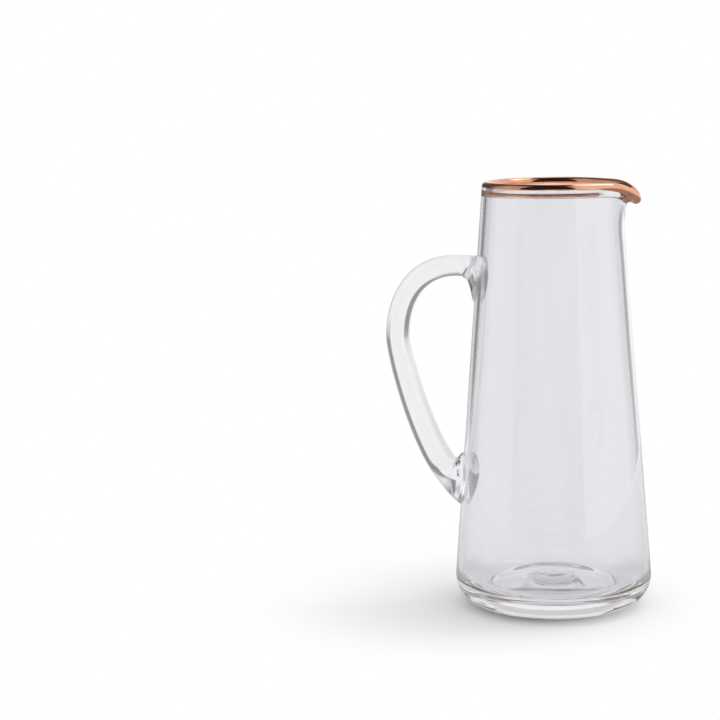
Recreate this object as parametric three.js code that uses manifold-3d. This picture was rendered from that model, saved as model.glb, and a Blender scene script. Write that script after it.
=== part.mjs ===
// Glass pitcher: a tapering blown body with a pulled spout, a drawn glass handle and a metal band on the lip.
// Millimetres, +Z up, spout along +X, handle along -X, standing on Z = 0.
// The pieces are built around the body's axis, and the group then moves so that the origin lies on the
// table under the middle of the whole part's box.

import * as THREE from "three";
import ManifoldModule from "manifold-3d";

// Body: outside
const HEIGHT = 252; // table to the end of the wall, away from the spout
const BASE_RADIUS = 58; // widest, at the top of the heel
const LIP_RADIUS = 40.3; // outside of the wall at the lip
const HEEL_RADIUS = 18; // rounding from the standing ring to the wall
const STANDING_RING_WIDTH = 5; // flat ring that the jug stands on
const PUNT_HEIGHT = 5.5; // how far the middle of the underside is pushed up
const GROUND_SPOT_RADIUS = 12.6; // round spot ground in the middle of the underside
const GROUND_SPOT_DEPTH = 1;
const GROUND_SPOT_POWER = 6; // how flat the spot is and how sharp its edge

// Body: inside
const WALL = 3.2;
const TROUGH_HEIGHT = 11.5; // lowest part of the inside, a ring trough beside the wall
const TROUGH_RADIUS = 9.8; // rounding from the wall to the trough
const FLOOR_HEIGHT = 20; // middle of the inside, pushed up into a broad dome
const FLOOR_RADIUS = 40; // where the dome starts
const FLOOR_POWER = 5; // how broad the dome is
const FLOOR_FOOT_POWER = 1.3; // how softly its foot meets the trough

// Lip: a bead thicker than the wall, swollen to the inside
const LIP_THICKNESS = 5.6;
const BEAD_BELOW_BAND = 0.25; // how far the full thickness goes on below the band, at the spout
const BEAD_TAPER = 3.5; // below it, down to the wall's thickness

// Spout: the wall below the lip leans out gently, then turns out sharply into a drooping tongue
const SPOUT_ZONE = 37; // length of wall below the lip that the spout bends
const SPOUT_LENGTH = 30.45; // the same stretch, measured along the middle of the spout
const SPOUT_FLARE = THREE.MathUtils.degToRad(34.3); // lean that grows along the stretch
const SPOUT_TURN = THREE.MathUtils.degToRad(89); // sharp turn added to it
const SPOUT_TURN_START = 0.731; // where along the stretch the sharp turn starts and ends
const SPOUT_TURN_END = 0.867;
const SPOUT_REACH_SPREAD = THREE.MathUtils.degToRad(37.9); // angle over which the reach dies away
const SPOUT_REACH_POWER = 3.2; // how flat its middle is and how fast it dies away
const SPOUT_DIP_SPREAD = THREE.MathUtils.degToRad(10.6); // the same for the dip
const SPOUT_DIP_POWER = 1;
const SPOUT_ROUNDING = 0.7; // share of both spreads over which the middle is rounded

// Band on the lip
const BAND_THICKNESS = 0.35;
const BAND_GAP = 0.15; // clearance between the band and the rebated glass under it
const BAND_OUTSIDE = 3; // height of the band on the outside and on the inside
const BAND_INSIDE = 3.6;
const BAND_SPOUT_EXTRA = 2.1; // how much higher it is at the spout
const BAND_SPOUT_SPREAD = 0.75; // angle about the axis over which that dies away, radians

// Handle: its centre line is two joined cubic curves in the XZ plane
const HANDLE_TOP = 200.5; // heights at which the centre line meets the wall
const HANDLE_BOTTOM = 68.5;
const HANDLE_REACH = 92.9; // axis to the centre line where it is furthest out
const HANDLE_REACH_HEIGHT = 159;
const HANDLE_TOP_RISE = THREE.MathUtils.degToRad(12.5); // how steeply the centre line leaves the wall
const HANDLE_BOTTOM_RISE = THREE.MathUtils.degToRad(35);
const HANDLE_TOP_PULL = 37; // lengths of the curves' control arms, from the top end to the bottom end
const HANDLE_UPPER_ARM = 23;
const HANDLE_LOWER_ARM = 10;
const HANDLE_BOTTOM_PULL = 27.5;
const ROD_TOP_RADIUS = 6;
const ROD_BOTTOM_RADIUS = 8.6;
const SEAT_GAP = 0.3; // clearance between the pads and the wall

// Pads: how much wider than the rod each end spreads, at what distance along the centre line half of that
// is gone, and over what distance it goes
const TOP_PAD_INNER = { extra: 17, at: 2.2, over: 2.6 }; // towards the finger gap
const TOP_PAD_SIDE = { extra: 7, at: 2.5, over: 1.8 };
const BOTTOM_PAD_INNER = { extra: 18, at: 14.5, over: 3 };
const BOTTOM_PAD_OUTER = { extra: 1, at: 14.5, over: 3 };
const BOTTOM_PAD_SIDE = { extra: 11, at: 8, over: 3.5 };

// Mesh steps
const COLUMNS = 60; // around the axis
const COLUMN_CROWDING = 0.45; // draws the columns together at the spout
const CURVE_STEPS = 6; // along each rounding
const FLOOR_STEPS = 12; // from the trough to the middle of the inside
const SPOUT_ROWS = [0, 0.3, 0.5, 0.62, 0.71, 0.77, 0.8, 0.825, 0.85, 0.87]; // shares of the spout's stretch
const BEND_STEPS = 200; // for adding up the spout's bend
const ROD_SIDES = 20;
const ROD_STEPS = 52; // along the handle
const ROD_CROWDING = 0.7; // draws the handle's rings together at its two ends

const steps = (count) => Array.from({ length: count + 1 }, (_, i) => i / count);
const arc = (r, z, radius, from, to) =>
  steps(CURVE_STEPS).map((t) => {
    const angle = from + (to - from) * t;
    return [r + radius * Math.cos(angle), z + radius * Math.sin(angle)];
  });
// Half a cosine wave from one point to another, level at both ends
const wave = (r0, z0, r1, z1) =>
  steps(CURVE_STEPS).map((t) => [r0 + (r1 - r0) * t, z0 + (z1 - z0) * (0.5 - Math.cos(Math.PI * t) / 2)]);

// The straight wall touches the heel's rounding and passes through the lip. Its lean is the angle it makes
// with the axis, so its outward normal is (cos lean, sin lean).
const heelCentre = BASE_RADIUS - HEEL_RADIUS;
const lipFromHeel = Math.hypot(LIP_RADIUS - heelCentre, HEIGHT - HEEL_RADIUS);
const lipBearing = Math.atan2(LIP_RADIUS - heelCentre, HEIGHT - HEEL_RADIUS);
const lean = Math.asin(HEEL_RADIUS / lipFromHeel) - lipBearing;
const wallOffset = heelCentre * Math.cos(lean) + HEEL_RADIUS * Math.sin(lean) + HEEL_RADIUS;
const wallRadius = (z, inset = 0) => (wallOffset - inset - z * Math.sin(lean)) / Math.cos(lean);

// The spout's middle line: it starts along the wall, and at each share of its length it has turned by an
// angle that grows with the square of the share, plus a smooth step for the sharp turn.
const spoutStart = {
  r: LIP_RADIUS + SPOUT_ZONE * Math.sin(lean),
  z: HEIGHT - SPOUT_ZONE * Math.cos(lean),
};
const spoutAngle = (share) =>
  SPOUT_FLARE * share * share +
  SPOUT_TURN * THREE.MathUtils.smoothstep(share, SPOUT_TURN_START, SPOUT_TURN_END) - lean;

function spoutPoint(share) {
  const step = (share * SPOUT_LENGTH) / BEND_STEPS;
  let { r, z } = spoutStart;
  for (let i = 0; i < BEND_STEPS; i += 1) {
    const angle = spoutAngle(((i + 0.5) / BEND_STEPS) * share);
    r += step * Math.sin(angle);
    z += step * Math.cos(angle);
  }
  return { r, z };
}

// Bell curve: 1 at the middle of the spout, dying away with a power of the angle about the axis
const bell = (theta, spread, power = 2, rounding = 0) =>
  Math.exp(rounding ** power - ((theta / spread) ** 2 + rounding ** 2) ** (power / 2));

// A point at a share of the bent stretch, at an angle about the axis and at a depth below the outside. The
// outside is the straight wall moved towards the spout's middle line, less and less away from the spout.
function lipPoint(share, depth, theta) {
  const reach = bell(theta, SPOUT_REACH_SPREAD, SPOUT_REACH_POWER, SPOUT_ROUNDING);
  const dip = bell(theta, SPOUT_DIP_SPREAD, SPOUT_DIP_POWER, SPOUT_ROUNDING);
  const bent = spoutPoint(share);
  const bentAngle = spoutAngle(share);
  const r0 = spoutStart.r - share * SPOUT_ZONE * Math.sin(lean);
  const z0 = spoutStart.z + share * SPOUT_ZONE * Math.cos(lean);
  const alongR = -SPOUT_ZONE * Math.sin(lean) * (1 - reach) + SPOUT_LENGTH * Math.sin(bentAngle) * reach;
  const alongZ = SPOUT_ZONE * Math.cos(lean) * (1 - dip) + SPOUT_LENGTH * Math.cos(bentAngle) * dip;
  const along = Math.hypot(alongR, alongZ);
  return [
    r0 + (bent.r - r0) * reach - (depth * alongZ) / along,
    z0 + (bent.z - z0) * dip + (depth * alongR) / along,
  ];
}

// The lip's section as [distance below the end of the wall, depth below the outside], from the outside over a
// round nose to the inside, set in from the finished surface by an inset.
function lipSection(inset, outside, inside) {
  const nose = LIP_THICKNESS / 2;
  const round = steps(CURVE_STEPS).map((t) => [
    nose - (nose - inset) * Math.sin(Math.PI * t),
    nose - (nose - inset) * Math.cos(Math.PI * t),
  ]);
  return [[outside, inset], ...round, [inside, LIP_THICKNESS - inset]];
}

const onLip = (section, theta) =>
  section.map(([below, depth]) => lipPoint(1 - below / SPOUT_ZONE, depth, theta));
const rowsBelow = (below) => SPOUT_ROWS.filter((share) => (1 - share) * SPOUT_ZONE > below);
const bandEdge = (height, theta) => height + BAND_SPOUT_EXTRA * bell(theta, BAND_SPOUT_SPREAD);

// The body's outline at one angle about the axis, from the middle of the underside, up the outside, over
// the lip and down the inside to the middle of the floor.
function bodyOutline(theta) {
  const ringInside = heelCentre - STANDING_RING_WIDTH;
  const spot = steps(CURVE_STEPS / 2).map((t) => [
    GROUND_SPOT_RADIUS * t,
    PUNT_HEIGHT + GROUND_SPOT_DEPTH * (1 - t ** GROUND_SPOT_POWER),
  ]);
  const punt = wave(GROUND_SPOT_RADIUS, PUNT_HEIGHT, ringInside, 0).slice(1);
  const heel = arc(heelCentre, HEEL_RADIUS, HEEL_RADIUS, -Math.PI / 2, lean);
  const outsideRows = rowsBelow(BAND_OUTSIDE + BAND_SPOUT_EXTRA + BAND_GAP);
  const outside = outsideRows.map((share) => lipPoint(share, 0, theta));
  const outerEdge = bandEdge(BAND_OUTSIDE, theta) + BAND_GAP;
  const innerEdge = bandEdge(BAND_INSIDE, theta) + BAND_GAP;
  const lip = onLip([
    [outerEdge, 0],
    ...lipSection(BAND_THICKNESS + BAND_GAP, outerEdge, innerEdge),
    [innerEdge, LIP_THICKNESS],
  ], theta);
  const beadEnd = BAND_INSIDE + BAND_SPOUT_EXTRA + BAND_GAP + BEAD_BELOW_BAND;
  const bead = onLip(wave(beadEnd, LIP_THICKNESS, beadEnd + BEAD_TAPER, WALL), theta);
  const inside = rowsBelow(beadEnd + BEAD_TAPER).reverse().map((share) => lipPoint(share, WALL, theta));
  const troughZ = TROUGH_HEIGHT + TROUGH_RADIUS;
  const troughR = wallRadius(troughZ, WALL) - TROUGH_RADIUS / Math.cos(lean);
  const trough = arc(troughR, troughZ, TROUGH_RADIUS, lean, -Math.PI / 2);
  const floor = steps(FLOOR_STEPS).slice(1).map((t) => {
    const r = troughR * (1 - t);
    const rise = (1 - Math.min(r / FLOOR_RADIUS, 1) ** FLOOR_POWER) ** FLOOR_FOOT_POWER;
    return [r, TROUGH_HEIGHT + (FLOOR_HEIGHT - TROUGH_HEIGHT) * rise];
  });
  return [...spot, ...punt, ...heel, ...outside, ...lip, ...bead, ...inside, ...trough, ...floor];
}

// The band's outline at one angle about the axis: the lip's finished surface and its own underside.
function bandOutline(theta) {
  const edges = [bandEdge(BAND_OUTSIDE, theta), bandEdge(BAND_INSIDE, theta)];
  const back = lipSection(BAND_THICKNESS, ...edges);
  return onLip([...lipSection(0, ...edges), ...back.reverse()], theta);
}

const columnAngles = steps(COLUMNS).slice(0, COLUMNS).map((t) => {
  const angle = Math.PI * (2 * t - 1);
  return angle - COLUMN_CROWDING * Math.sin(angle);
});

function geometryFrom(positions, triangles) {
  const geometry = new THREE.BufferGeometry();
  geometry.setAttribute("position", new THREE.Float32BufferAttribute(positions.flat(), 3));
  geometry.setIndex(triangles.flat());
  geometry.computeVertexNormals();
  return geometry;
}

// Carries an outline of [radius, height] points around the axis. An outline that starts and ends on the axis
// gives a body with two poles, and one that is a loop gives a ring. The triangles mirror each other across
// the XZ plane.
function carryAround(outlineAt, isLoop) {
  const outlines = columnAngles.map((theta) => outlineAt(theta));
  const poles = isLoop ? [] : [outlines[0][0], outlines[0].at(-1)].map(([, z]) => [0, 0, z]);
  const rows = isLoop ? outlines : outlines.map((outline) => outline.slice(1, -1));
  const count = rows[0].length;
  const positions = rows.flatMap((row, column) =>
    row.map(([r, z]) => [r * Math.cos(columnAngles[column]), r * Math.sin(columnAngles[column]), z]));
  const triangles = [];
  rows.forEach((_, column) => {
    const next = (column + 1) % COLUMNS;
    for (let row = 0; row < (isLoop ? count : count - 1); row += 1) {
      const above = (row + 1) % count;
      const [a, b] = [column * count + row, next * count + row];
      const [c, d] = [next * count + above, column * count + above];
      if (columnAngles[column] < 0) triangles.push([a, b, d], [b, c, d]);
      else triangles.push([a, b, c], [a, c, d]);
    }
    if (!isLoop) {
      const [first, last] = [COLUMNS * count, COLUMNS * count + 1];
      triangles.push([first, next * count, column * count]);
      triangles.push([last, column * count + count - 1, next * count + count - 1]);
    }
  });
  return geometryFrom([...positions, ...poles], triangles);
}

const spread = ({ extra, at, over }, distance) => extra / (1 + Math.exp((distance - at) / over));

// The handle's solid before it is cut to the wall: oval sections square to the centre line. Each section
// reaches as far as the outer and the inner half height on either side of the line.
function handleGeometry() {
  const point = (x, z) => new THREE.Vector3(-x, 0, z);
  const top = point(wallRadius(HANDLE_TOP), HANDLE_TOP);
  const bottom = point(wallRadius(HANDLE_BOTTOM), HANDLE_BOTTOM);
  const far = point(HANDLE_REACH, HANDLE_REACH_HEIGHT);
  const out = (angle) => point(Math.cos(angle), Math.sin(angle));
  const up = point(0, 1);
  const line = new THREE.CurvePath();
  line.add(new THREE.CubicBezierCurve3(
    top, top.clone().addScaledVector(out(HANDLE_TOP_RISE), HANDLE_TOP_PULL),
    far.clone().addScaledVector(up, HANDLE_UPPER_ARM), far));
  line.add(new THREE.CubicBezierCurve3(
    far, far.clone().addScaledVector(up, -HANDLE_LOWER_ARM),
    bottom.clone().addScaledVector(out(HANDLE_BOTTOM_RISE), HANDLE_BOTTOM_PULL), bottom));
  const length = line.getLength();
  const rootDepth = WALL + ROD_BOTTOM_RADIUS; // each end starts this far inside the wall's outside
  const crowded = steps(ROD_STEPS).map((t) => t - (ROD_CROWDING * Math.sin(2 * Math.PI * t)) / (2 * Math.PI));
  const stops = [-rootDepth, ...crowded.map((share) => share * length), length + rootDepth];
  const rings = stops.map((stop) => {
    const share = THREE.MathUtils.clamp(stop / length, 0, 1);
    const along = line.getTangentAt(share);
    const outward = new THREE.Vector3(0, 1, 0).cross(along); // away from the finger gap
    const rod = ROD_TOP_RADIUS + (ROD_BOTTOM_RADIUS - ROD_TOP_RADIUS) * share;
    const outer = rod + spread(BOTTOM_PAD_OUTER, length - stop);
    const inner = rod + spread(TOP_PAD_INNER, stop) + spread(BOTTOM_PAD_INNER, length - stop);
    const side = rod + spread(TOP_PAD_SIDE, stop) + spread(BOTTOM_PAD_SIDE, length - stop);
    const centre = line.getPointAt(share).addScaledVector(along, stop - share * length)
      .addScaledVector(outward, (outer - inner) / 2);
    return { centre, outward, half: (outer + inner) / 2, side };
  });
  const positions = rings.flatMap(({ centre, outward, half, side }) =>
    steps(ROD_SIDES).slice(0, ROD_SIDES).map((t) => {
      const place = centre.clone().addScaledVector(outward, half * Math.cos(2 * Math.PI * t));
      return [place.x, place.y + side * Math.sin(2 * Math.PI * t), place.z];
    }));
  const triangles = [];
  for (let ring = 0; ring < rings.length - 1; ring += 1) {
    for (let side = 0; side < ROD_SIDES; side += 1) {
      const next = (side + 1) % ROD_SIDES;
      const [a, b] = [ring * ROD_SIDES + side, ring * ROD_SIDES + next];
      triangles.push([a, b, b + ROD_SIDES], [a, b + ROD_SIDES, a + ROD_SIDES]);
    }
  }
  const last = (rings.length - 1) * ROD_SIDES;
  for (let side = 1; side < ROD_SIDES - 1; side += 1) {
    triangles.push([0, side + 1, side], [last, last + side, last + side + 1]);
  }
  return geometryFrom(positions, triangles);
}

// A filled cone just clear of the wall's outside, for cutting the pads to their seats.
function seatGeometry() {
  const [foot, head] = [wallRadius(0) + SEAT_GAP, wallRadius(HEIGHT) + SEAT_GAP];
  return carryAround(() => [[0, 0], [foot, 0], [head, HEIGHT], [0, HEIGHT]], false);
}

const manifold = await ManifoldModule();
manifold.setup();

function solidFrom(geometry) {
  const vertProperties = new Float32Array(geometry.getAttribute("position").array);
  const triVerts = new Uint32Array(geometry.getIndex().array);
  return new manifold.Manifold(new manifold.Mesh({ numProp: 3, vertProperties, triVerts }));
}

function cut(geometry, tool) {
  const { vertProperties, triVerts, numProp } = solidFrom(geometry).subtract(solidFrom(tool)).getMesh();
  const result = new THREE.BufferGeometry();
  const positions = Array.from({ length: vertProperties.length / numProp }, (_, i) =>
    [...vertProperties.slice(i * numProp, i * numProp + 3)]);
  result.setAttribute("position", new THREE.Float32BufferAttribute(positions.flat(), 3));
  result.setIndex([...triVerts]);
  result.computeVertexNormals();
  return result;
}

const glass = () => new THREE.MeshStandardMaterial({
  color: 0xe6e8ec, roughness: 0.02, metalness: 0, transparent: true, opacity: 0.35,
});
const roseGold = () => new THREE.MeshStandardMaterial({ color: 0xd08a66, roughness: 0.12, metalness: 1 });

function piece(name, geometry, material) {
  const mesh = new THREE.Mesh(geometry, material);
  mesh.name = name;
  return mesh;
}

const pitcher = new THREE.Group();
pitcher.add(piece("glass_body", carryAround(bodyOutline, false), glass()));
pitcher.add(piece("handle", cut(handleGeometry(), seatGeometry()), glass()));
pitcher.add(piece("rim_band", carryAround(bandOutline, true), roseGold()));
pitcher.position.x = -new THREE.Box3().setFromObject(pitcher).getCenter(new THREE.Vector3()).x;
pitcher.updateMatrixWorld(true);

export default pitcher;
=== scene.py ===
import math

import bpy
import numpy as np
from mathutils import Matrix, Vector


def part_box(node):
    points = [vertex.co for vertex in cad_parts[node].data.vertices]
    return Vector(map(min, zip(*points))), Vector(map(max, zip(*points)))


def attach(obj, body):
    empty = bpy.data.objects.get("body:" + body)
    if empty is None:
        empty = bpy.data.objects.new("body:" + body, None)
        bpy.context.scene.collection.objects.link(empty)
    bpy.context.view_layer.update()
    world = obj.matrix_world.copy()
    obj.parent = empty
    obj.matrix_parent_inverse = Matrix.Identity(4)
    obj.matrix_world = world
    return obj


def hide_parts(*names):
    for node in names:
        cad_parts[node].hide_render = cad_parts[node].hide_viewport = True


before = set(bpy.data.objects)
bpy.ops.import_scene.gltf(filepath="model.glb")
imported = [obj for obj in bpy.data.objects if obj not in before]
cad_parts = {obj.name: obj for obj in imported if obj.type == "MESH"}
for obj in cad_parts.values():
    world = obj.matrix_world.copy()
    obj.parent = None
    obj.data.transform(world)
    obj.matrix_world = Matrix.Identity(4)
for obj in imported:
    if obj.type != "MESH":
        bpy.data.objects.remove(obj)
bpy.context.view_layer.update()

bl_info = {
    "name": "Glass pitcher",
    "version": (1, 0, 0),
    "blender": (4, 5, 0),
    "location": "3D View > Sidebar > Pitcher",
    "description": "Tapering clear glass pitcher with a pulled spout, a looped handle and a rose-gold lip",
    "category": "Add Mesh",
}

# The body's axis stands in the middle of the body's box.
BODY_LOW, BODY_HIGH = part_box("glass_body")
AXIS_X = (BODY_LOW[0] + BODY_HIGH[0]) / 2
TAU = 2 * math.pi
WHITE = (1.0, 1.0, 1.0, 1.0)

# Numbers of the body's materials, and of the fused joint on the handle.
GLASS, METAL_BACK, FUSED = 0, 1, 2
HANDLE_FUSED = 1

# Rows of points on either straight side of the lip's section and on its round nose.
EDGE_ROWS = 8
NOSE_ROWS = 25

# Steps along the spout's middle line.
SPOUT_STEPS = 800

# Half sizes of a pad at which the slide of the wall's grid has died away, and the most that its formula takes.
SLIDE_END = 1.45
SLIDE_LIMIT = 1.4

# Edges in a mesh that bend by more than this stay sharp.
SHARP_BEND = math.radians(50)

# Where the glass gets uneven: radii on the inside floor and the underside, both below a height, and
# heights on the inside wall.
FLOOR_EDGE = (0.05, 0.036)
UNDER_EDGE = (0.033, 0.02)
BASE_TOP = 0.03
WALL_TOP = (0.236, 0.2)
WALL_FOOT = (0.026, 0.045)

# Noise cells per metre along X, Y and Z.
GLASS_STREAKS = (55.0, 55.0, 7.0)
GLASS_WAVES = (38.0, 38.0, 16.0)
METAL_CLOUDS = (120.0, 120.0, 260.0)
METAL_MARKS = (420.0, 420.0, 1800.0)

# Fades on the floor: distances from the body's axis.
UNDER_JUG = (0.04, 0.08)
NEAR_JUG = (0.09, 0.4)
FAR_FLOOR = (0.2, 0.6)

# Parts of the studio: degrees around the axis from the camera, left and right ends and a soft margin, or the
# start and end of a fade.
UNLIT = (-50, 36, 6)
LEFT_FLAG = (-150, -125, 8)
RIGHT_FLAG = (125, 150, 8)
LEFT_WALL = (-160, 0, 20)
LEFT_WALL_FADE = (-128, -92)

# Cosines of the angle between a direction and the camera's side of the axis.
BACK_WALL = (-0.25, -0.45)
BACK_TO_SIDE = (-0.9, -0.7)

# Sines of a direction's height above the horizon.
OVERHEAD = (0.8, 0.95)
ROOF = (0.3, 0.7)
FLAGS_UP = (-0.06, 0.5, 0.24)
DIM_UP = (0.0, 0.25)
SIDES_DOWN = (0.02, -0.3)
METAL_DOWN = (-0.06, -0.25)


def length(name, description, default):
    return bpy.props.FloatProperty(
        name=name, description=description, default=default, precision=5, unit="LENGTH", subtype="DISTANCE")


def angle(name, description, degrees):
    return bpy.props.FloatProperty(
        name=name, description=description, default=math.radians(degrees), unit="ROTATION", subtype="ANGLE")


def share(name, description, default):
    return bpy.props.FloatProperty(name=name, description=description, default=default, subtype="FACTOR")


def number(name, description, default):
    return bpy.props.FloatProperty(name=name, description=description, default=default)


def colour(name, description, default):
    return bpy.props.FloatVectorProperty(
        name=name, description=description, default=default, size=3, min=0.0, max=1.0, subtype="COLOR")


class PitcherGlassSizes(bpy.types.PropertyGroup):
    height: length("Height", "Table to the end of the wall, away from the spout", 0.252)
    base_radius: length("Base radius", "Widest radius, at the top of the heel", 0.058)
    lip_radius: length("Lip radius", "Outside of the wall at the lip", 0.0403)
    heel_radius: length("Heel radius", "Rounding from the standing ring to the wall", 0.018)
    ring_width: length("Ring width", "Flat ring that the jug stands on", 0.005)
    punt_height: length("Punt height", "How far the middle of the underside is pushed up", 0.0055)
    spot_radius: length("Spot radius", "Round spot ground in the middle of the underside", 0.0126)
    spot_depth: length("Spot depth", "Depth of the ground spot", 0.001)
    spot_power: number("Spot power", "How flat the ground spot is and how sharp its edge", 6.0)
    wall: length("Wall", "Thickness of the wall", 0.0032)
    trough_height: length("Trough height", "Lowest part of the inside, beside the wall", 0.0115)
    trough_radius: length("Trough radius", "Rounding from the wall to the trough", 0.0098)
    floor_height: length("Floor height", "Pushed-up middle of the inside", 0.020)
    floor_radius: length("Floor radius", "Radius at which the pushed-up middle starts", 0.040)
    floor_power: number("Floor power", "How flat the pushed-up middle is", 5.0)
    floor_foot_power: number("Floor foot power", "How softly the pushed-up middle starts", 1.3)
    lip_thickness: length("Lip thickness", "Thickness of the bead along the lip", 0.0056)
    bead_height: length("Bead height", "Part of the lip that has the full thickness", 0.0053)
    bead_spout_extra: length("Bead spout extra", "How much taller that part is at the spout", 0.0009)
    bead_taper: length("Bead taper", "Below it, down to the wall's thickness", 0.0024)
    ripple: length("Ripple", "Unevenness of the inside wall", 0.00006)
    unevenness: length("Unevenness", "Unevenness of the inside floor and of the underside", 0.0003)


class PitcherSpoutSizes(bpy.types.PropertyGroup):
    zone: length("Zone", "Length of wall below the lip that the spout bends", 0.037)
    length: length("Length", "The same stretch along the middle of the spout", 0.03045)
    flare: angle("Flare", "Lean that grows along the stretch", 34.3)
    turn: angle("Turn", "Sharp turn added to it", 89)
    turn_start: share("Turn start", "Share of the stretch at which the sharp turn starts", 0.731)
    turn_end: share("Turn end", "Share of the stretch at which the sharp turn ends", 0.867)
    reach_spread: angle("Reach spread", "Angle about the axis over which the reach dies away", 37.9)
    reach_power: number("Reach power", "How flat the middle of the reach is and how fast it dies away", 3.2)
    dip_spread: angle("Dip spread", "Angle about the axis over which the dip dies away", 10.6)
    dip_power: number("Dip power", "How flat the middle of the dip is and how fast it dies away", 1.0)
    rounding: share("Rounding", "Share of both spreads over which their middle is rounded", 0.7)


class PitcherBandSizes(bpy.types.PropertyGroup):
    outside: length("Outside", "Height of the metal on the outside of the lip", 0.003)
    inside: length("Inside", "Height of the metal on the inside of the lip", 0.0036)
    spout_extra: length("Spout extra", "How much higher the metal is at the spout", 0.0021)
    spout_spread: angle("Spout spread", "Angle about the axis over which that dies away", 43)
    wander: length("Wander", "How far the brushed edge wanders up and down", 0.00016)
    thickness: length("Thickness", "Thickness of the metal layer", 0.00006)


class PitcherHandleSizes(bpy.types.PropertyGroup):
    top: length("Top", "Height at which the centre line meets the wall at the top", 0.2005)
    bottom: length("Bottom", "Height at which the centre line meets the wall at the bottom", 0.0685)
    reach: length("Reach", "Axis to the centre line where it is furthest out", 0.0929)
    reach_height: length("Reach height", "Height of that place", 0.159)
    top_rise: angle("Top rise", "How steeply the centre line leaves the wall at the top", 12.5)
    bottom_rise: angle("Bottom rise", "How steeply it leaves the wall at the bottom", 35)
    top_pull: length("Top pull", "Control arm at the top end", 0.037)
    upper_arm: length("Upper arm", "Control arm above the furthest place", 0.023)
    lower_arm: length("Lower arm", "Control arm below the furthest place", 0.010)
    bottom_pull: length("Bottom pull", "Control arm at the bottom end", 0.0275)
    rod_top: length("Rod top", "Radius of the rod at its top end", 0.006)
    rod_bottom: length("Rod bottom", "Radius of the rod at its bottom end", 0.0086)
    top_pad_height: length("Top pad height", "Height of the middle of the upper pad", 0.1940)
    top_pad_half: length("Top pad half height", "Half height of the upper pad on the wall", 0.0140)
    top_pad_side: length("Top pad half width", "Half width of the upper pad on the wall", 0.0120)
    top_flare: length("Top flare", "Distance along the rod over which the upper pad spreads", 0.012)
    bottom_pad_height: length("Bottom pad height", "Height of the middle of the lower pad", 0.0738)
    bottom_pad_half: length("Bottom pad half height", "Half height of the lower pad on the wall", 0.0158)
    bottom_pad_side: length("Bottom pad half width", "Half width of the lower pad on the wall", 0.0175)
    bottom_flare: length("Bottom flare", "Distance along the rod over which the lower pad spreads", 0.025)
    top_rod_pull: length("Top rod pull", "Control arm of the upper pad's flare at the rod", 0.010)
    top_wall_pull: length("Top wall pull", "Control arm of the upper pad's flare at the wall", 0.0026)
    top_tilt: angle("Top tilt", "How far the upper pad's flare leans in where it leaves the wall", 6)
    top_tilt_change: angle("Top tilt change", "What it gains at the upper end, loses at the lower", -6)
    bottom_rod_pull: length("Bottom rod pull", "Control arm of the lower pad's flare at the rod", 0.013)
    bottom_wall_pull: length("Bottom wall pull", "Control arm of the lower pad's flare at the wall", 0.005)
    bottom_tilt: angle("Bottom tilt", "How far the lower pad's flare leans in where it leaves the wall", 15)
    bottom_tilt_change: angle("Bottom tilt change", "What it gains at the lower end, loses at the upper", 15)
    fused_share: share("Fused share", "Share of each pad's width and height that is fused to the wall", 0.7)
    crevice: length("Crevice", "Gap between wall and pad at the pad's rim", 0.00015)


class PitcherFinishes(bpy.types.PropertyGroup):
    glass: colour("Glass", "Colour that the clear glass gives to light", (0.90, 0.897, 0.918))
    glass_streak: colour("Glass streak", "Colour of its fainter streaks", (0.88, 0.878, 0.905))
    glass_relief: share("Glass relief", "Strength of the very slight waves in its surface", 0.06)
    index: bpy.props.FloatProperty(
        name="Index", description="Refractive index of the glass", default=1.5, min=1.0, max=2.0)
    metal: colour("Metal", "Colour of the rose-gold metal", (0.85, 0.43, 0.28))
    metal_deep: colour("Metal, deep", "Colour of its deeper patches", (0.72, 0.32, 0.19))
    metal_relief: share("Metal relief", "Strength of the faint brush marks on the metal", 0.04)
    metal_back: colour("Metal back", "Colour of the metal's back, seen through the glass", (0.60, 0.41, 0.32))
    metal_back_pale: colour("Metal back, pale", "Colour of the paler patches on its back", (0.86, 0.68, 0.60))


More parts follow.
